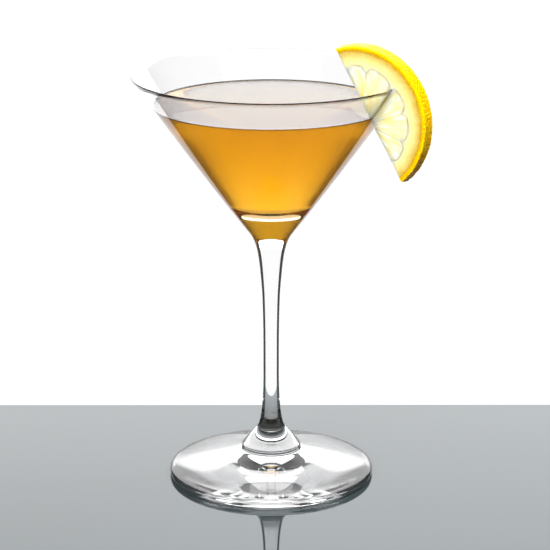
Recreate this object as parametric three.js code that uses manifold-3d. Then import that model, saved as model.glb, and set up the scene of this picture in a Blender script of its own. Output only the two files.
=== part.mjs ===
// A cocktail in its stemmed glass: a wide conical bowl on a drawn stem and a round foot,
// an amber drink up to a finger's width under the rim, and a half wheel of lemon pushed
// over the rim. Millimetres, +Z up. The origin is the centre of the foot's underside, and
// the lemon stands in the X-Z plane on the +X side.
import * as THREE from "three";
import { mergeVertices } from "three/addons/utils/BufferGeometryUtils.js";
import Module from "manifold-3d";

// Glass: bowl
const glassHeight = 172;
const rimRadius = 57.2;
const wall = 1.2; // the bowl wall's thickness, measured level
const tipRadius = 8.9; // where the cone's solid tip meets the stem
const tipHeight = 105.3;
const bowlBend = new THREE.Vector2(29.2, 131.7); // control point of the bowl's slightly hollow side

// Glass: rounded bottom of the hollow
const hollowShoulder = 121; // height where the inside wall starts to turn
const hollowFloor = 116.6;

// Glass: stem
const waistRadius = 3.3;
const waistLow = 46;
const waistHigh = 55;
const drawnRadius = 3.8; // the stem's radius below its upper taper
const drawnHeight = 80;
const flareRadius = 5.4; // the stem's radius where it starts to spread
const flareHeight = 21.5;

// Glass: foot
const footRadius = 43.1;
const footEdge = 3.2; // thickness of the foot's rounded edge
const footRingRadius = 12.8; // a low step where the flare meets the foot
const footRingHeight = 10.8;
const footRingTop = 12.6;

// Drink
const drinkLevel = 159.7;
const gap = 0.3; // clearance between pieces that touch
const sideGap = 0.4; // the same clearance on the bowl's slanting wall, measured level

// Lemon half wheel, a round slice that was cut across a little off its centre
const wheelRadius = 30;
const wheelSpread = 0.6; // the far side is this much larger, as the fruit bulges there
const wheelThick = 6;
const wheelX = 41.9;
const wheelZ = 157.8;
const cutOffset = 5.6; // distance of the straight cut from the wheel's centre
const cutTurn = 31; // degrees from +X up to the direction the wheel bulges in
const slitRun = 19; // how far the slit runs down along the wall

// Smoothness
const roundSteps = 56; // facets round the glass and the drink
const rindSteps = 88; // facets round a whole wheel of lemon

const materials = {
  glass: new THREE.MeshStandardMaterial({
    color: 0xf2f6f6, roughness: 0.02, metalness: 0, transparent: true, opacity: 0.35,
  }),
  drink: new THREE.MeshStandardMaterial({
    color: 0xf0a500, roughness: 0.05, metalness: 0, transparent: true, opacity: 0.85,
  }),
  lemon: new THREE.MeshStandardMaterial({ color: 0xf2cf2e, roughness: 0.45, metalness: 0 }),
};

// The bowl's side is one quadratic arc from the rim to the tip; this is its radius at a height.
function bowlRadius(z) {
  const a = glassHeight - 2 * bowlBend.y + tipHeight;
  const b = 2 * (bowlBend.y - glassHeight);
  const c = glassHeight - z;
  const t = (-b - Math.sqrt(b * b - 4 * a * c)) / (2 * a);
  return (1 - t) ** 2 * rimRadius + 2 * t * (1 - t) * bowlBend.x + t * t * tipRadius;
}

// Points down or up the bowl's side, moved towards the axis by inset.
function bowlSide(inset, fromZ, toZ, steps) {
  const points = [];
  for (let i = 0; i <= steps; i += 1) {
    const z = fromZ + ((toZ - fromZ) * i) / steps;
    points.push(new THREE.Vector2(bowlRadius(z) - inset, z));
  }
  return points;
}

// The hollow's bottom from its shoulder to the axis, moved inwards and up by a clearance.
function hollowBottom(inset, lift, steps) {
  const shoulder = bowlRadius(hollowShoulder) - wall;
  return new THREE.CubicBezierCurve(
    new THREE.Vector2(shoulder - inset, hollowShoulder),
    new THREE.Vector2(shoulder - 2.4 - inset, hollowShoulder - 3.2 + lift),
    new THREE.Vector2(shoulder - 9, hollowFloor + lift),
    new THREE.Vector2(0, hollowFloor + lift),
  ).getPoints(steps);
}

function footAndStem() {
  const outline = new THREE.Path();
  outline.moveTo(0, 0);
  outline.lineTo(footRadius - 1.6, 0);
  outline.quadraticCurveTo(footRadius, 0, footRadius, footEdge / 2);
  outline.quadraticCurveTo(footRadius, footEdge, footRadius - 1.8, footEdge);
  outline.bezierCurveTo(32, 5.6, 22, 8.2, footRingRadius, footRingHeight);
  outline.quadraticCurveTo(footRingRadius - 0.5, 11.2, footRingRadius - 0.5, footRingTop);
  outline.bezierCurveTo(12, 13.6, 8.8, 16.6, flareRadius, flareHeight);
  outline.bezierCurveTo(3.6, 26.5, waistRadius, 36, waistRadius, waistLow);
  outline.lineTo(waistRadius, waistHigh);
  outline.bezierCurveTo(waistRadius, 62, 3.4, 71, drawnRadius, drawnHeight);
  outline.bezierCurveTo(4.9, 93.5, 5.4, 100.6, tipRadius, tipHeight);
  return outline.getPoints(4);
}

// The rim was melted round: a half circle over the wall.
function rimRound() {
  const points = [];
  for (let i = 1; i < 4; i += 1) {
    const turn = (Math.PI * i) / 4;
    points.push(new THREE.Vector2(
      rimRadius - wall / 2 + (wall / 2) * Math.cos(turn),
      glassHeight - wall / 2 + (wall / 2) * Math.sin(turn),
    ));
  }
  return points;
}

function glassOutline() {
  const rimStart = glassHeight - wall / 2;
  return [
    ...footAndStem(),
    ...bowlSide(0, tipHeight + 8, rimStart, 6),
    ...rimRound(),
    ...bowlSide(wall, rimStart, hollowShoulder, 6).slice(0, -1),
    ...hollowBottom(0, 0, 6),
  ];
}

function drinkOutline() {
  const inset = wall + sideGap;
  return [
    new THREE.Vector2(0, drinkLevel),
    ...bowlSide(inset, drinkLevel, hollowShoulder, 5).slice(0, -1),
    ...hollowBottom(sideGap, gap, 6),
  ].reverse();
}

// Turns an outline of (radius, height) points round the Z axis.
function turned(points) {
  return new THREE.LatheGeometry(points, roundSteps).rotateX(Math.PI / 2);
}

const wasm = await Module();
wasm.setup();

function solidOf(geometry) {
  const bare = new THREE.BufferGeometry();
  bare.setAttribute("position", geometry.getAttribute("position"));
  bare.setIndex(geometry.index);
  const merged = mergeVertices(bare, 1e-4);
  return new wasm.Manifold(new wasm.Mesh({
    numProp: 3,
    vertProperties: merged.attributes.position.array,
    triVerts: new Uint32Array(merged.index.array),
  }));
}

function geometryOf(solid) {
  const mesh = solid.getMesh();
  const geometry = new THREE.BufferGeometry();
  geometry.setAttribute("position", new THREE.BufferAttribute(mesh.vertProperties, 3));
  geometry.setIndex(new THREE.BufferAttribute(mesh.triVerts, 1));
  geometry.computeVertexNormals();
  return geometry;
}

// What lies beyond the straight cut of a wheel whose rind is a shallow cone.
function halfWheel() {
  const wheel = new THREE.CylinderGeometry(
    wheelRadius + wheelSpread, wheelRadius, wheelThick, rindSteps,
  );
  wheel.translate(wheelX, 0, wheelZ);
  const size = 4 * wheelRadius;
  const beyond = new THREE.BoxGeometry(size, size, size);
  beyond.translate(cutOffset + size / 2, 0, 0);
  beyond.rotateY(-THREE.MathUtils.degToRad(cutTurn));
  beyond.translate(wheelX, 0, wheelZ);
  return solidOf(wheel).intersect(solidOf(beyond));
}

// The room that the bowl's wall takes in the flesh.
function slit() {
  const top = glassHeight + gap;
  const low = top - slitRun;
  const outline = new THREE.Shape();
  outline.moveTo(rimRadius + sideGap, top);
  outline.lineTo(rimRadius - wall - sideGap, top);
  outline.lineTo(bowlRadius(low) - wall - sideGap, low);
  outline.lineTo(bowlRadius(low) + sideGap, low);
  outline.closePath();
  const room = new THREE.ExtrudeGeometry(outline, { depth: 2 * wheelThick, bevelEnabled: false });
  return solidOf(room.translate(0, 0, -wheelThick).rotateX(Math.PI / 2));
}

const cocktail = new THREE.Group();

function add(name, geometry, material) {
  const mesh = new THREE.Mesh(geometry, material);
  mesh.name = name;
  cocktail.add(mesh);
}

add("glass", turned(glassOutline()), materials.glass);
add("drink", turned(drinkOutline()), materials.drink);
add("lemon_slice", geometryOf(halfWheel().subtract(slit())), materials.lemon);

export default cocktail;
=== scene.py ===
# %% [markdown]
# # A cocktail in a stemmed glass
# A bar glass with a wide conical bowl holds an amber drink, and a half wheel of lemon rides on
# its rim. Three things make it look real: glass thick enough to bend what is behind it, a
# liquid that colours light by how far it travels, and fruit that light shines through.

# %% Load the frame
import math

import bmesh
import bpy
from mathutils import Matrix, Vector


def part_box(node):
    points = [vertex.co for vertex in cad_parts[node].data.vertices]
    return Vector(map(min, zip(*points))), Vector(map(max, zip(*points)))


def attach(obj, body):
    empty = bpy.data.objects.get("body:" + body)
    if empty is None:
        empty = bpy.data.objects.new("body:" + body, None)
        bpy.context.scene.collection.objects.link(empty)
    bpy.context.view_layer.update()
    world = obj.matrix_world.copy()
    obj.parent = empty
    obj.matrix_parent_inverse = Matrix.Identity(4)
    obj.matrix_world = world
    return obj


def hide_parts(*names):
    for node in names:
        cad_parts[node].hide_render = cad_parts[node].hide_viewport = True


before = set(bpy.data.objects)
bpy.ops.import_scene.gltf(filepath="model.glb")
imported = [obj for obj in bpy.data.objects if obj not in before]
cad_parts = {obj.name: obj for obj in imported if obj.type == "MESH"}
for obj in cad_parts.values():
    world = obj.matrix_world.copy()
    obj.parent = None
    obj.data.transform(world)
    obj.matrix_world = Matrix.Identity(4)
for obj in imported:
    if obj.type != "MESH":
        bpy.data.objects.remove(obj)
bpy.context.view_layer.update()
scene = bpy.context.scene
MM = 0.001

glass_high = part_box("glass")[1]
drink_low, drink_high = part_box("drink")
print(f"glass {glass_high.z / MM:.1f} mm high, rim {glass_high.x / MM:.1f} mm in radius")
print(f"drink from {drink_low.z / MM:.1f} to {drink_high.z / MM:.1f} mm")

# %% [markdown]
# ## Small helpers
# Colours are written as sRGB hex, as a paint chart gives them, and turned to the linear
# numbers that light adds up in. One function adds a node and wires it, so that each material
# and each Geometry Nodes tree below reads from top to bottom in the order light or geometry
# goes through it.


# %% Colour and node helpers
def linear(hex_colour):
    """The linear RGBA of an sRGB colour such as "f0a500"."""
    parts = [int(hex_colour[i : i + 2], 16) / 255 for i in (0, 2, 4)]
    return (*[c / 12.92 if c <= 0.04045 else ((c + 0.055) / 1.055) ** 2.4 for c in parts], 1)


def add(tree, kind, inputs=(), **settings):
    """Adds a node; each input is given a value or linked from a socket."""
    made = tree.nodes.new(kind)
    for name, value in settings.items():
        setattr(made, name, value)
    for name, value in dict(inputs).items():
        if isinstance(value, bpy.types.NodeSocket):
            tree.links.new(value, made.inputs[name])
        else:
            made.inputs[name].default_value = value
    return made


def new_material(name):
    """An empty node material and its tree."""
    material = bpy.data.materials.new(name)
    material.use_nodes = True
    material.node_tree.nodes.clear()
    return material, material.node_tree


def placed(name, mesh):
    """An object at the origin that shows this mesh."""
    made = bpy.data.objects.new(name, mesh)
    scene.collection.objects.link(made)
    return made


# %% [markdown]
# ## The camera
# A long lens about 0.9 m away looks a little down into the bowl, which keeps the rim a slim
# ellipse and the stem's sides nearly parallel. The lemon stands in the X-Z plane, so the
# camera stands round to one side of it and sees its cut face and a strip of its skin.

# %% Camera
camera_turn = math.radians(31)
camera_distance = 878 * MM
camera_height = 348.2 * MM
camera_aside = 1.62 * MM
camera_pitch = math.radians(16.561)

camera_data = bpy.data.cameras.new("camera")
camera_data.sensor_width = 36
camera_data.lens = 144
camera_data.clip_start = 0.05
camera_data.clip_end = 20
camera = placed("camera", camera_data)
camera.matrix_world = (
    Matrix.Rotation(camera_turn, 4, "Z")
    @ Matrix.Translation((camera_aside, -camera_distance, camera_height))
    @ Matrix.Rotation(math.pi / 2 - camera_pitch, 4, "X")
)
scene.camera = camera
print("camera at", [round(c, 3) for c in camera.matrix_world.translation])

# %% [markdown]
# ## The studio
# Clear glass has no colour of its own, so what stands round it draws it. Glass is usually
# pictured against one bright screen with dark surroundings: the middle of a stem bends the
# screen's light straight to the camera, while its edges bend the camera's view past the
# screen into the dark, which gives each edge a crisp dark line.
#
# The low part of the screen, straight behind the glass, is only just white, so that the thin
# bowl still shows against it. The part above is much brighter: the table and the drink's
# surface mirror it, and the cone of drink is a prism that turns the view up to it. A soft
# panel overhead shines down through the drink.
#
# The screen, the panel and the table hang on one empty that turns with the camera, so that
# every view has the same light.

# %% Studio turntable
studio = placed("studio", None)
follow = studio.constraints.new("LOCKED_TRACK")
follow.target = camera
follow.track_axis = "TRACK_NEGATIVE_Y"
follow.lock_axis = "LOCK_Z"


def panel(name, corners, colour, strength):
    """A flat glowing panel of the studio."""
    paint, tree = new_material(name)
    glow = add(tree, "ShaderNodeEmission", {"Color": linear(colour), "Strength": strength})
    add(tree, "ShaderNodeOutputMaterial", {"Surface": glow.outputs[0]})
    mesh = bpy.data.meshes.new(name)
    mesh.from_pydata(corners, [], [tuple(range(len(corners)))])
    mesh.materials.append(paint)
    made = placed(name, mesh)
    made.parent = studio
    return made


# %% Screen and overhead panel
screen_back = 0.6
screen_half = 0.436
screen_low, screen_high = -0.32, 0.9
backdrop_light, screen_light = 1.08, 2.8
backdrop_top, bright_from = 0.1, 0.2
fade_from, share_at_top = 0.3, 0.36
overhead_height = 0.9
overhead_half = 0.5
overhead_back = 0.4

screen = panel("bright screen", [
    (-screen_half, screen_back, screen_low), (screen_half, screen_back, screen_low),
    (screen_half, screen_back, screen_high), (-screen_half, screen_back, screen_high)],
    "fdfdfe", screen_light)
tree = screen.data.materials[0].node_tree
position = add(tree, "ShaderNodeTexCoord")
height = add(tree, "ShaderNodeSeparateXYZ", {"Vector": position.outputs["Object"]})
rising = add(tree, "ShaderNodeMapRange",
             {"Value": height.outputs["Z"], "From Min": backdrop_top, "From Max": bright_from,
              "To Min": backdrop_light, "To Max": screen_light},
             interpolation_type="SMOOTHSTEP")
fading = add(tree, "ShaderNodeMapRange",
             {"Value": height.outputs["Z"], "From Min": fade_from, "From Max": screen_high,
              "To Min": 1.0, "To Max": share_at_top},
             interpolation_type="SMOOTHSTEP")
glowing = add(tree, "ShaderNodeMath", {0: rising.outputs[0], 1: fading.outputs[0]},
              operation="MULTIPLY")
tree.links.new(glowing.outputs[0], tree.nodes["Emission"].inputs["Strength"])

panel("overhead panel", [
    (-overhead_half, -overhead_half, overhead_height), (overhead_half, -overhead_half, overhead_height),
    (overhead_half, overhead_back, overhead_height), (-overhead_half, overhead_back, overhead_height)],
    "ffffff", 1.0)
print("screen", round(2 * screen_half, 2), "m wide, up to", screen_high, "m")

# %% [markdown]
# The lemon is matt, so it needs light from the camera's side too. Two area lights give it,
# hidden from mirror rays so that they leave no hard squares on the glass.

# %% Soft lights for the fruit
bowl_middle = Vector((0, 0, 0.15))


def soft_light(name, place, size, watts):
    """A square area light aimed at the bowl, which matt surfaces see and mirrors don't."""
    lamp = bpy.data.lights.new(name, "AREA")
    lamp.size = size
    lamp.energy = watts
    made = placed(name, lamp)
    made.location = place
    made.rotation_mode = "QUATERNION"
    made.rotation_quaternion = (Vector(place) - bowl_middle).to_track_quat("Z", "Y")
    made.visible_glossy = False
    made.visible_transmission = False
    made.parent = studio


soft_light("front fill", (-0.45, -0.9, 0.55), 0.6, 28)
soft_light("top light", (0.5, 0.25, 0.75), 0.5, 12)

# %% [markdown]
# The table is a polished dark slab. At this low angle it mirrors the screen as a smooth grey,
# and it ends close behind the glass, so the screen shows straight over its edge. It lies a
# tenth of a millimetre under the foot: two surfaces in one place would shut the light out of
# the foot, and a real glass touches its table at only a few points anyway. Wiping leaves a
# faint haze in patches a hand's width across, which is in the roughness.

# %% Table
table_size = Vector((2.4, 1.6, 0.02))
table_back = 82 * MM
table_gap = 0.1 * MM
haze_size = 71.4 * MM

slab, tree = new_material("polished dark slab")
position = add(tree, "ShaderNodeTexCoord")
haze = add(tree, "ShaderNodeTexNoise",
           {"Vector": position.outputs["Object"], "Scale": 1 / haze_size, "Detail": 5.0})
dulled = add(tree, "ShaderNodeMapRange", {"Value": haze.outputs[0], "To Min": 0.02, "To Max": 0.05})
bsdf = add(tree, "ShaderNodeBsdfPrincipled",
           {"Base Color": linear("30383a"), "Roughness": dulled.outputs[0], "IOR": 1.5,
            "Specular Tint": linear("f6feff")})
add(tree, "ShaderNodeOutputMaterial", {"Surface": bsdf.outputs[0]})

bm = bmesh.new()
bmesh.ops.create_cube(bm, size=1)
bmesh.ops.scale(bm, vec=table_size, verts=bm.verts)
bmesh.ops.translate(
    bm, vec=(0, table_back - table_size.y / 2, -table_size.z / 2 - table_gap), verts=bm.verts)
mesh = bpy.data.meshes.new("table")
bm.to_mesh(mesh)
bm.free()
mesh.materials.append(slab)
table = placed("table", mesh)
table.parent = studio

# %% Dim room and picture settings
room = bpy.data.worlds.new("dim room")
scene.world = room
room.use_nodes = True
room.node_tree.nodes["Background"].inputs["Color"].default_value = linear("ffffff")
room.node_tree.nodes["Background"].inputs["Strength"].default_value = 0.06
scene.view_settings.view_transform = "Standard"
scene.cycles.max_bounces = 32
scene.cycles.transmission_bounces = 32
scene.cycles.glossy_bounces = 16
scene.cycles.volume_bounces = 16
print("studio ready")

# %% [markdown]
# ## The glass
# A stemmed glass is blown or pressed in one piece: a thin cone melted into a solid tip, a
# stem drawn from it, and a foot with a small step where it was joined. It is round all over,
# so one outline turned round the axis makes it, inside and outside together. It could be
# made from a cone, a cylinder and a disc, but their joints would show as dark rings in clear
# glass. The curves of the outline matter more than anything else here, because glass is a
# lens: a slightly steeper slope moves every reflection in the foot.

# %% Measures of the glass
wall = 1.1
rim_radius = 57.2
glass_height = 172
tip = Vector((8.9, 105.3))
bowl_bend = Vector((29.2, 131.7))
hollow_shoulder = 121
hollow_floor = 116.6
foot_radius = 43.1
foot_edge = 3.2
foot_hollow = 3.5
foot_top = Vector((12.8, 10.8))
foot_ring = Vector((12.3, 12.6))
stem_radius = 3.3
print("bowl", glass_height - hollow_floor, "mm deep inside, foot", 2 * foot_radius, "mm across")


# %% Curves of the outline
def curve(points, steps):
    """Points along the Bezier curve with these control points, without its first."""
    made = []
    for i in range(1, steps + 1):
        level = [Vector(p) for p in points]
        while len(level) > 1:
            level = [a.lerp(b, i / steps) for a, b in zip(level, level[1:])]
        made.append(level[0])
    return made


def bowl_radius(z):
    """Radius of the bowl's outside at a height, on one quadratic curve from rim to tip."""
    a = glass_height - 2 * bowl_bend.y + tip.y
    b = 2 * (bowl_bend.y - glass_height)
    t = (-b - math.sqrt(b * b - 4 * a * (glass_height - z))) / (2 * a)
    return (1 - t) ** 2 * rim_radius + 2 * t * (1 - t) * bowl_bend.x + t * t * tip.x


def bowl_side(inset, start, end, steps):
    """Points on the bowl's side from one height to another, moved towards the axis."""
    heights = [start + (end - start) * i / steps for i in range(steps + 1)]
    return [Vector((bowl_radius(z) - inset, z)) for z in heights]


def hollow_bottom(inset, lift, steps):
    """The hollow's rounded bottom, from its shoulder to the axis."""
    shoulder = bowl_radius(hollow_shoulder) - wall
    return curve(
        [(shoulder - inset, hollow_shoulder), (shoulder - 2.4 - inset, hollow_shoulder - 3.2 + lift),
         (shoulder - 9, hollow_floor + lift), (0, hollow_floor + lift)], steps)


# %% Outline of the glass
def glass_outline():
    """The outline from the axis under the foot, up the outside, and down the hollow."""
    made = [Vector((0, foot_hollow))]

    def on(steps, *controls):
        made.extend(curve([made[-1], *controls], steps))

    # The foot: the hollow underneath, the rounded edge, and the slope up to the small step.
    on(12, (20, foot_hollow), (30, 0), (foot_radius - 1.6, 0))
    on(8, (foot_radius, 0), (foot_radius, foot_edge / 2))
    on(8, (foot_radius, foot_edge), (foot_radius - 1.8, foot_edge))
    on(24, (32, 5.6), (22, 8.2), foot_top)
    on(4, (foot_ring.x, 11.2), foot_ring)
    # The stem: a flare, the slim drawn length, and the swelling into the bowl's solid tip.
    on(12, (12.0, 13.6), (8.8, 16.6), (5.4, 21.5))
    on(16, (3.6, 26.5), (stem_radius, 36), (stem_radius, 46))
    on(4, (stem_radius, 55))
    on(10, (stem_radius, 62), (3.4, 71), (3.8, 80))
    on(20, (4.9, 93.5), (5.4, 100.6), tip)
    # The bowl: up the outside, over the fire-rounded rim, and down the inside.
    rim_start = glass_height - wall / 2
    made += bowl_side(0, tip.y + 1, rim_start, 40)
    for i in range(1, 8):
        a = math.pi * i / 8
        made.append(Vector((rim_radius - wall / 2 + wall / 2 * math.cos(a),
                            rim_start + wall / 2 * math.sin(a))))
    made += bowl_side(wall, rim_start, hollow_shoulder, 36)
    made += hollow_bottom(0, 0, 24)
    return made


# %% [markdown]
# The outline is turned into a mesh ring by ring. A point on the axis stands for a whole ring,
# so the faces beside it are triangles and the pole is closed. 192 facets round keep the rim
# smooth, and smooth shading does the rest.


# %% Turn an outline round the axis
def turned(name, outline, around=192):
    """A closed mesh: an outline in millimetres from axis to axis, turned round Z."""
    points, faces, rings = [], [], []
    for p in outline:
        if p.x < 1e-6:
            rings.append([len(points)] * around)
            points.append((0, 0, p.y * MM))
            continue
        rings.append(list(range(len(points), len(points) + around)))
        for i in range(around):
            a = 2 * math.pi * i / around
            points.append((p.x * MM * math.cos(a), p.x * MM * math.sin(a), p.y * MM))
    for low, high in zip(rings, rings[1:]):
        for i in range(around):
            j = (i + 1) % around
            faces.append(list(dict.fromkeys([low[i], low[j], high[j], high[i]])))
    mesh = bpy.data.meshes.new(name)
    mesh.from_pydata(points, [], faces)
    mesh.shade_smooth()
    return placed(name, mesh)


# %% [markdown]
# ### Clear blown glass
# Soda-lime glass has an IOR of about 1.5 and no colour at this thickness. Blowing leaves the
# surface bright but not quite true: very shallow waves a few centimetres long, which make
# reflections wander a little instead of lying in perfect rings.

# %% Glass material
wave_size = 22.2 * MM
clear, tree = new_material("clear blown glass")
position = add(tree, "ShaderNodeTexCoord")
waves = add(tree, "ShaderNodeTexNoise",
            {"Vector": position.outputs["Object"], "Scale": 1 / wave_size, "Detail": 1.0})
wavy = add(tree, "ShaderNodeBump",
           {"Height": waves.outputs[0], "Strength": 0.3, "Distance": 0.06 * MM})
bsdf = add(tree, "ShaderNodeBsdfPrincipled",
           {"Base Color": linear("ffffff"), "Roughness": 0.0, "IOR": 1.5,
            "Transmission Weight": 1.0, "Normal": wavy.outputs[0]})
add(tree, "ShaderNodeOutputMaterial", {"Surface": bsdf.outputs[0]})

glass = turned("blown_glass", glass_outline())
glass.data.materials.append(clear)
print(glass.name, len(glass.data.polygons), "faces")

# %% [markdown]
# ## The drink
# The drink is one body of liquid up to its level. It reaches a quarter of a millimetre into
# the wall: with a gap there, light would cross a layer of air and the liquid would look like
# a silvered balloon. Where it meets the wall, liquid climbs a little. This meniscus is a thin
# ring, and without it the surface would end in a hard line.

# %% Measures of the drink
drink_level = drink_high.z / MM
meniscus = 0.5
meniscus_width = 1.4
meniscus_zone = 9
reach = 0.25
print("level", round(drink_level, 1), "mm,", round(glass_height - drink_level, 1), "mm below the rim")


# %% Outline of the drink
def drink_outline():
    """The outline from the hollow's floor, up along the wall, and back over the surface."""
    made = hollow_bottom(-reach, -reach, 24)[::-1]
    made += bowl_side(wall - reach, hollow_shoulder, drink_level + meniscus, 30)
    edge = made[-1].x
    for i in range(1, 16):
        away = meniscus_zone * (i / 15) ** 2
        climb = meniscus * math.exp(-away / meniscus_width)
        made.append(Vector((edge - away, drink_level + climb)))
    made.append(Vector((0, drink_level)))
    return made


# %% [markdown]
# ### Amber liqueur and juice
# Liqueur with citrus juice is a clear liquid with a fine cloud in it. The liquid takes blue
# first and then green out of the light, so a long path through the wide top looks orange and
# the short path near the tip looks yellow. The cloud throws light mostly forwards, which
# evens the colour out. Both are volumes, because a colour on the surface alone would be the
# same from rim to tip. The surface keeps a light amber tint for viewers that draw no volume.

# %% Drink material
ripple_size = 33.3 * MM
amber, tree = new_material("amber liqueur and juice")
position = add(tree, "ShaderNodeTexCoord")
ripple = add(tree, "ShaderNodeTexNoise",
             {"Vector": position.outputs["Object"], "Scale": 1 / ripple_size, "Detail": 1.0})
stir = add(tree, "ShaderNodeBump",
           {"Height": ripple.outputs[0], "Strength": 0.3, "Distance": 0.05 * MM})
bsdf = add(tree, "ShaderNodeBsdfPrincipled",
           {"Base Color": linear("f9ca78"), "Roughness": 0.0, "IOR": 1.34,
            "Transmission Weight": 1.0, "Normal": stir.outputs[0]})
liquid = add(tree, "ShaderNodeVolumeAbsorption", {"Color": linear("fff200"), "Density": 50.0})
cloud = add(tree, "ShaderNodeVolumeScatter",
            {"Color": linear("ffffff"), "Density": 60.0, "Anisotropy": 0.945})
both = add(tree, "ShaderNodeAddShader", {0: liquid.outputs[0], 1: cloud.outputs[0]})
add(tree, "ShaderNodeOutputMaterial", {"Surface": bsdf.outputs[0], "Volume": both.outputs[0]})

drink = turned("poured_drink", drink_outline())
drink.data.materials.append(amber)
print(drink.name, len(drink.data.polygons), "faces")

# %% [markdown]
# ## The lemon half wheel
# A wheel of lemon is a slab cut across the fruit: pored yellow zest outside, then white pith,
# then juice segments between thin walls that meet at a core. The wheel was halved, so its
# straight edge passes just beside the core, and slit so that it sits over the bowl's wall.
#
# Everything is laid out on the slab's own two directions: `across`, square to the straight
# cut, and `along` it. The measures are millimetres from the wheel's centre.

# %% Lemon layout
wheel_centre = Vector((41.9, 157.8))
cut_turn = math.radians(31)
cut_offset = 5.6
wheel_radius = 30
wheel_spread = 0.6
half_thick = 3.0
zest_thick = 1.9
juice_radius = 22.3
core = Vector((3.15, -2.7))
membrane_thick = 0.5
membrane_turns = [math.radians(a) for a in (61.8, 26, -10.4, -50)]
print("lemon wheel", 2 * wheel_radius, "mm across,", 2 * half_thick, "mm thick")


def on_slab(across, along, y):
    """A point of the slab in metres, from its two directions in millimetres."""
    x = wheel_centre.x + across * math.cos(cut_turn) - along * math.sin(cut_turn)
    z = wheel_centre.y + across * math.sin(cut_turn) + along * math.cos(cut_turn)
    return (x * MM, y * MM, z * MM)


def slab_point(x, z):
    """The slab's two directions of a point in the X-Z plane, in millimetres."""
    away = Vector((x, z)) - wheel_centre
    return Vector((away.x * math.cos(cut_turn) + away.y * math.sin(cut_turn),
                   away.y * math.cos(cut_turn) - away.x * math.sin(cut_turn)))


# %% [markdown]
# A segment's outline runs from the core between two walls to the pith. Its outer side bulges
# and its corners are round, because each segment is a full little bag of juice.

# %% Outlines of the juice segments
core_radius = 3.2
corner_loss = 0.13
least_length = 0.3


def segment_outline(start, end, steps=28):
    """One segment between two walls, ending at the straight cut."""
    middle, half = (start + end) / 2, (end - start) / 2
    outer, inner = [], []
    for i in range(steps + 1):
        share = -1 + 2 * i / steps
        angle = middle + half * share
        way = Vector((math.cos(angle), math.sin(angle)))
        forward = core.dot(way)
        reach_out = -forward + math.sqrt(
            forward * forward - core.length_squared + juice_radius * juice_radius)
        reach_out *= 1 - corner_loss * abs(share) ** 5
        at_cut = (cut_offset - core.x) / max(way.x, 0.02)
        aside = membrane_thick / 2 * Vector((-way.y, way.x)) * -share
        if reach_out > at_cut + least_length:
            outer.append(core + way * reach_out + aside)
            inner.append(core + way * max(at_cut, core_radius) + aside)
    return outer + inner[::-1]


edges = [math.radians(83.5), *membrane_turns, math.radians(-82)]
segments = [segment_outline(low, high) for high, low in zip(edges, edges[1:])]
print(len(segments), "juice segments")

# %% [markdown]
# Pith and juice are cut from flat slabs with Booleans: the segments out of the pith, and the
# slit out of both. A voxel remesh then gives them even, slightly softened faces, which a
# relief needs. Modelling the walls between the segments one by one would leave gaps where
# they meet.


# %% Slabs and cutting
def slab_of(name, outlines, half):
    """Closed slabs with these outlines, their faces at plus and minus half."""
    bm = bmesh.new()
    for outline in outlines:
        front = [bm.verts.new(on_slab(p.x, p.y, -half)) for p in outline]
        back = [bm.verts.new(on_slab(p.x, p.y, half)) for p in outline]
        bm.faces.new(front)
        bm.faces.new(back[::-1])
        for i in range(len(outline)):
            j = (i + 1) % len(outline)
            bm.faces.new([front[j], front[i], back[i], back[j]])
    bmesh.ops.recalc_face_normals(bm, faces=bm.faces)
    mesh = bpy.data.meshes.new(name)
    bm.to_mesh(mesh)
    bm.free()
    return placed(name, mesh)


def applied(piece):
    """Turns a piece's modifiers into plain mesh."""
    seen = piece.evaluated_get(bpy.context.evaluated_depsgraph_get())
    mesh = bpy.data.meshes.new_from_object(seen)
    piece.modifiers.clear()
    old, piece.data = piece.data, mesh
    bpy.data.meshes.remove(old)
    mesh.name = piece.name


def cut_away(piece, cutter):
    """Takes the cutter's shape out of a piece."""
    cutting = piece.modifiers.new("cut", "BOOLEAN")
    cutting.object = cutter
    cutting.solver = "EXACT"
    applied(piece)


def remeshed(piece, size):
    """Gives a piece even faces of this size in millimetres."""
    again = piece.modifiers.new("even", "REMESH")
    again.mode = "VOXEL"
    again.voxel_size = size * MM
    applied(piece)
    piece.data.shade_smooth()


# %% Slit, juice and pith
slit_run = 18.6
slit_room = 0.15
slit_low = glass_height - slit_run
slit = slab_of("slit", [[
    slab_point(rim_radius + slit_room, glass_height + slit_room),
    slab_point(rim_radius - wall - slit_room, glass_height + slit_room),
    slab_point(bowl_radius(slit_low) - wall - slit_room, slit_low),
    slab_point(bowl_radius(slit_low) + slit_room, slit_low)]], 2 * half_thick)

zest_overlap = 0.25
juice_inset, pith_inset = 0.1, 0.15
pith_steps = 96
juice = slab_of("lemon_juice_sacs", segments, half_thick - juice_inset)
pith_radius = wheel_radius - zest_thick + zest_overlap
pith_arc = math.acos(cut_offset / pith_radius)
pith_outline = []
for i in range(pith_steps + 1):
    angle = -pith_arc + 2 * pith_arc * i / pith_steps
    pith_outline.append(Vector((pith_radius * math.cos(angle), pith_radius * math.sin(angle))))
pith = slab_of("lemon_pith", [pith_outline], half_thick - pith_inset)

cut_away(pith, juice)
cut_away(pith, slit)
cut_away(juice, slit)
bpy.data.objects.remove(slit)
remeshed(juice, 0.28)
remeshed(pith, 0.3)
print("pith", len(pith.data.polygons), "faces, juice", len(juice.data.polygons), "faces")

# %% [markdown]
# The sacs in a segment are long and thin and all point to the core. A pattern on plain
# coordinates couldn't follow them, so each point of the juice stores its own direction as an
# attribute: how far out from the core, how far round, and how deep.

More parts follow.
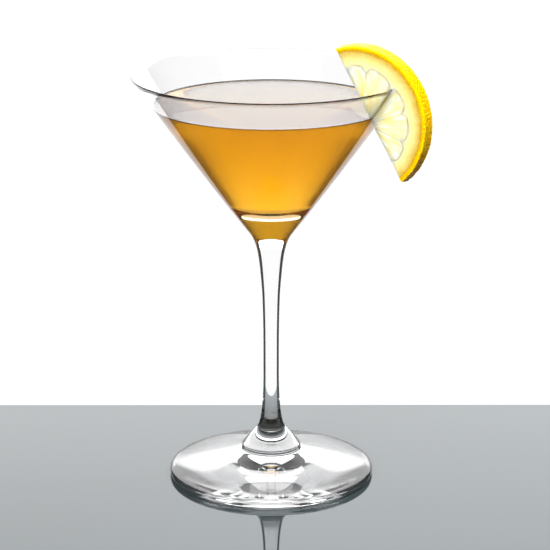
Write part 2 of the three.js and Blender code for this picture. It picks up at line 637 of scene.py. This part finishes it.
# %% Grain of the juice sacs
grain_radius = 14
grain = juice.data.attributes.new("grain", "FLOAT_VECTOR", "POINT")
for point, mark in zip(juice.data.vertices, grain.data):
    flat = slab_point(point.co.x / MM, point.co.z / MM) - core
    mark.vector = (flat.length, math.atan2(flat.y, flat.x) * grain_radius, point.co.y / MM)
print("grain stored on", len(juice.data.vertices), "points")

# %% [markdown]
# The zest is a strip bent round the wheel. Its cross-section is a rounded rectangle, a little
# wider at the back where the fruit bulges. It stores a flat map of its skin as an attribute,
# so that the pores lie on the skin at an even spacing instead of cutting through it.


# %% Cross-section of the zest
def zest_section(spacing=0.25, corner=0.5):
    """Evenly spaced points (y, height over the zest's inner side) round the strip."""
    corners = []
    for y, top, turn in ((half_thick, True, 0), (-half_thick, True, 90),
                         (-half_thick, False, 180), (half_thick, False, 270)):
        for i in range(4):
            a = math.radians(turn + 30 * i)
            corners.append((y - math.copysign(corner, y) + corner * math.cos(a),
                            (zest_thick - corner if top else corner) + corner * math.sin(a)))
    fine = []
    for (y0, h0), (y1, h1) in zip(corners, corners[1:] + corners[:1]):
        steps = max(1, round(math.hypot(y1 - y0, h1 - h0) / spacing))
        fine += [(y0 + (y1 - y0) * k / steps, h0 + (h1 - h0) * k / steps)
                 for k in range(steps)]
    return fine


# %% Strip of zest
def zest_strip(along_steps=340):
    """The zest round the wheel, both ends on the straight cut."""
    section = zest_section()
    bm = bmesh.new()
    skin = bm.verts.layers.float_vector.new("skin")
    loops = []
    for i in range(along_steps + 1):
        loop = []
        for y, h in section:
            spread = wheel_spread * (y + half_thick) / (2 * half_thick) * h / zest_thick
            radius = wheel_radius - zest_thick + h + spread
            arc = math.acos(cut_offset / radius)
            angle = -arc + 2 * arc * i / along_steps
            point = bm.verts.new(on_slab(radius * math.cos(angle), radius * math.sin(angle), y))
            point[skin] = Vector((angle * wheel_radius, y + math.copysign(zest_thick - h, y), 0))
            loop.append(point)
        loops.append(loop)
    for one, two in zip(loops, loops[1:]):
        for k in range(len(section)):
            j = (k + 1) % len(section)
            bm.faces.new([one[k], one[j], two[j], two[k]])
    bm.faces.new(loops[0])
    bm.faces.new(loops[-1][::-1])
    bmesh.ops.recalc_face_normals(bm, faces=bm.faces)
    mesh = bpy.data.meshes.new("lemon_zest")
    bm.to_mesh(mesh)
    bm.free()
    mesh.shade_smooth()
    return placed("lemon_zest", mesh)


zest = zest_strip()
print(zest.name, len(zest.data.polygons), "faces")

# %% [markdown]
# ### Waxy zest
# Lemon skin is a thin wax over oil glands about a millimetre apart. Each gland is a small pit
# with a deeper, more orange colour, and the skin between them swells. Where the knife went
# through, the cut glands darken the strip next to the pith. Light goes a little way into the
# skin, so it glows rather than looks painted.

# %% Zest material
pore_spacing = 1.15
pore_middle, pore_edge = 0.1, 0.6
ripe_size = 3.85 * MM
waxy, tree = new_material("waxy lemon zest")
skin = add(tree, "ShaderNodeAttribute", attribute_name="skin")
glands = add(tree, "ShaderNodeTexVoronoi",
             {"Vector": skin.outputs["Vector"], "Scale": 1 / pore_spacing}, voronoi_dimensions="2D")
pitted = add(tree, "ShaderNodeMapRange",
             {"Value": glands.outputs["Distance"], "From Min": pore_middle, "From Max": pore_edge,
              "To Min": 1.0, "To Max": 0.0}, interpolation_type="SMOOTHSTEP")
position = add(tree, "ShaderNodeTexCoord")
patches = add(tree, "ShaderNodeTexNoise",
              {"Vector": position.outputs["Object"], "Scale": 1 / ripe_size, "Detail": 3.0})
ripe = add(tree, "ShaderNodeMapRange",
           {"Value": patches.outputs[0], "From Min": 0.3, "From Max": 0.65, "To Min": 0.15})
depth = add(tree, "ShaderNodeMath", {0: pitted.outputs[0], 1: ripe.outputs[0]},
            operation="MULTIPLY")
map_ways = add(tree, "ShaderNodeSeparateXYZ", {"Vector": skin.outputs["Vector"]})
aside = add(tree, "ShaderNodeMath", {0: map_ways.outputs["Y"]}, operation="ABSOLUTE")
cut_face = add(tree, "ShaderNodeMapRange",
               {"Value": aside.outputs[0], "From Min": half_thick - 0.4,
                "From Max": half_thick + 1.2, "To Max": 0.75})
oiled = add(tree, "ShaderNodeMath", {0: depth.outputs[0], 1: cut_face.outputs[0]},
            operation="MAXIMUM")
tone = add(tree, "ShaderNodeMix",
           {"Factor": oiled.outputs[0], "A": linear("ffcf00"), "B": linear("c98200")},
           data_type="RGBA")
bsdf = add(tree, "ShaderNodeBsdfPrincipled",
           {"Base Color": tone.outputs["Result"], "Roughness": 0.34, "IOR": 1.45, "Coat Weight": 0.2,
            "Subsurface Weight": 0.9, "Subsurface Radius": (1.0, 0.7, 0.1),
            "Subsurface Scale": 2.5 * MM})
add(tree, "ShaderNodeOutputMaterial", {"Surface": bsdf.outputs[0]})

# %% [markdown]
# ### Spongy pith
# Pith is a dry white foam. With light behind it, it glows cream near the juice and turns
# golden towards the zest, whose oil colours it. A rough see-through share lets the light
# through without showing what is behind.

# %% Pith material
foam_size = 2 * MM
ragged_by = 3 * MM
spongy, tree = new_material("spongy lemon pith")
position = add(tree, "ShaderNodeTexCoord")
away = add(tree, "ShaderNodeVectorMath",
           {0: position.outputs["Object"], 1: (wheel_centre.x * MM, 0, wheel_centre.y * MM)},
           operation="DISTANCE")
foam = add(tree, "ShaderNodeTexNoise",
           {"Vector": position.outputs["Object"], "Scale": 1 / foam_size, "Detail": 4.0})
ragged = add(tree, "ShaderNodeMath", {0: foam.outputs[0], 1: ragged_by, 2: away.outputs["Value"]},
             operation="MULTIPLY_ADD")
ring = add(tree, "ShaderNodeMapRange",
           {"Value": ragged.outputs[0], "From Min": 22.5 * MM, "From Max": wheel_radius * MM})
tone = add(tree, "ShaderNodeValToRGB", {"Fac": ring.outputs[0]})
tone.color_ramp.elements[0].color = linear("fdf2b8")
tone.color_ramp.elements[1].color = linear("c9a020")
tone.color_ramp.elements.new(0.5).color = linear("ead890")
bsdf = add(tree, "ShaderNodeBsdfPrincipled",
           {"Base Color": tone.outputs[0], "Roughness": 0.85, "IOR": 1.4,
            "Transmission Weight": 0.3, "Subsurface Weight": 1.0,
            "Subsurface Radius": (1.0, 0.95, 0.55), "Subsurface Scale": 5 * MM})
add(tree, "ShaderNodeOutputMaterial", {"Surface": bsdf.outputs[0]})
pith.data.materials.append(spongy)

# %% [markdown]
# ### Wet juice sacs
# Each sac is a clear skin full of pale juice. Together they scatter so much light that the
# segments are the brightest part of the slice, with fine yellow lines where sacs touch. A sac
# is about 6 mm long and 1.5 mm thick.

# %% Juice material
sac_length, sac_width = 6.0, 1.5
wet, tree = new_material("wet juice sacs")
grain = add(tree, "ShaderNodeAttribute", attribute_name="grain")
cell = add(tree, "ShaderNodeVectorMath",
           {0: grain.outputs["Vector"], 1: (sac_length, sac_width, sac_width)}, operation="DIVIDE")
sacs = add(tree, "ShaderNodeTexVoronoi", {"Vector": cell.outputs[0], "Scale": 1.0})
tone = add(tree, "ShaderNodeValToRGB", {"Fac": sacs.outputs["Distance"]})
tone.color_ramp.elements[0].color = linear("fffdf0")
tone.color_ramp.elements[1].color = linear("f3dc78")
bsdf = add(tree, "ShaderNodeBsdfPrincipled",
           {"Base Color": tone.outputs[0], "Roughness": 0.45, "IOR": 1.35,
            "Transmission Weight": 0.4, "Subsurface Weight": 1.0,
            "Subsurface Radius": (1.0, 0.9, 0.6), "Subsurface Scale": 7 * MM})
add(tree, "ShaderNodeOutputMaterial", {"Surface": bsdf.outputs[0]})

# %% [markdown]
# ### Relief with Geometry Nodes
# Pores and sacs both repeat over a surface, so one kind of tree raises or sinks each point
# along its normal by the distance to the nearest cell centre. The cell pattern is the one
# the material uses, at the same scale, so that the colour sits in the pits. The juice is
# lifted a little as well, so that it presses against the pith and leaves no dark gap.

# %% Relief tree
lump_size = 3.85 * MM


def relief(name, attribute, flat, sizes, finish):
    """A tree that moves points along their normals, and its inputs' values by identifier."""
    tree = bpy.data.node_groups.new(name, "GeometryNodeTree")
    sockets = tree.interface
    sockets.new_socket("Geometry", in_out="INPUT", socket_type="NodeSocketGeometry")
    sockets.new_socket("Cell size", in_out="INPUT", socket_type="NodeSocketVector")
    for title in ("Cell height", "Swelling", "Lift"):
        sockets.new_socket(title, in_out="INPUT", socket_type="NodeSocketFloat")
    sockets.new_socket("Geometry", in_out="OUTPUT", socket_type="NodeSocketGeometry")
    start = add(tree, "NodeGroupInput")
    layout = add(tree, "GeometryNodeInputNamedAttribute", {"Name": attribute},
                 data_type="FLOAT_VECTOR")
    cell = add(tree, "ShaderNodeVectorMath",
               {0: layout.outputs["Attribute"], 1: start.outputs["Cell size"]},
               operation="DIVIDE")
    cells = add(tree, "ShaderNodeTexVoronoi", {"Vector": cell.outputs[0], "Scale": 1.0},
                voronoi_dimensions="2D" if flat else "3D")
    dome = add(tree, "ShaderNodeMapRange",
               {"Value": cells.outputs["Distance"], "From Min": pore_middle,
                "From Max": pore_edge, "To Min": 1.0, "To Max": 0.0},
               interpolation_type="SMOOTHSTEP")
    high = add(tree, "ShaderNodeMath", {0: dome.outputs[0], 1: start.outputs["Cell height"]},
               operation="MULTIPLY")
    position = add(tree, "GeometryNodeInputPosition")
    noise = add(tree, "ShaderNodeTexNoise",
                {"Vector": position.outputs[0], "Scale": 1 / lump_size, "Detail": 2.0})
    lump = add(tree, "ShaderNodeMath", {0: noise.outputs[0], 1: -0.5}, operation="ADD")
    total = add(tree, "ShaderNodeMath",
                {0: lump.outputs[0], 1: start.outputs["Swelling"], 2: high.outputs[0]},
                operation="MULTIPLY_ADD")
    lifted = add(tree, "ShaderNodeMath", {0: total.outputs[0], 1: start.outputs["Lift"]},
                 operation="ADD")
    normal = add(tree, "GeometryNodeInputNormal")
    outwards = add(tree, "ShaderNodeVectorMath",
                   {0: normal.outputs[0], "Scale": lifted.outputs[0]}, operation="SCALE")
    moved = add(tree, "GeometryNodeSetPosition",
                {"Geometry": start.outputs["Geometry"], "Offset": outwards.outputs[0]})
    plain = add(tree, "GeometryNodeRealizeInstances", {"Geometry": moved.outputs[0]})
    painted = add(tree, "GeometryNodeSetMaterial",
                  {"Geometry": plain.outputs[0], "Material": finish})
    add(tree, "NodeGroupOutput", {"Geometry": painted.outputs[0]})
    identifiers = {i.name: i.identifier for i in sockets.items_tree if i.in_out == "INPUT"}
    return tree, {identifiers[title]: value for title, value in sizes.items()}


# %% Pores and sacs in relief
pores = relief("pored skin", "skin", True,
               {"Cell size": (pore_spacing, pore_spacing, 1.0), "Cell height": -0.22 * MM,
                "Swelling": 0.3 * MM, "Lift": 0.0}, waxy)
bulges = relief("swollen sacs", "grain", False,
                {"Cell size": (sac_length, sac_width, sac_width), "Cell height": 0.2 * MM,
                 "Swelling": 0.1 * MM, "Lift": 0.12 * MM}, wet)
for piece, (tree, values) in ((zest, pores), (juice, bulges)):
    shaping = piece.modifiers.new("relief", "NODES")
    shaping.node_group = tree
    for identifier, value in values.items():
        shaping[identifier] = value
    applied(piece)
    print(piece.name, "in relief,", len(piece.data.polygons), "faces")

# %% [markdown]
# ## Joining the frame
# Nothing on this object moves, so every piece rides on the same body. Each piece stands in
# for the plain solid it was made from, which is hidden.

# %% Pieces on the frame
for piece, node, finish in ((glass, "glass", "clear_glass"), (drink, "drink", "amber_drink"),
                            (zest, "lemon_slice", "lemon"), (pith, "lemon_slice", "lemon"),
                            (juice, "lemon_slice", "lemon")):
    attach(piece, "root")
    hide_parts(node)
    print(piece.name, "stands for", node)
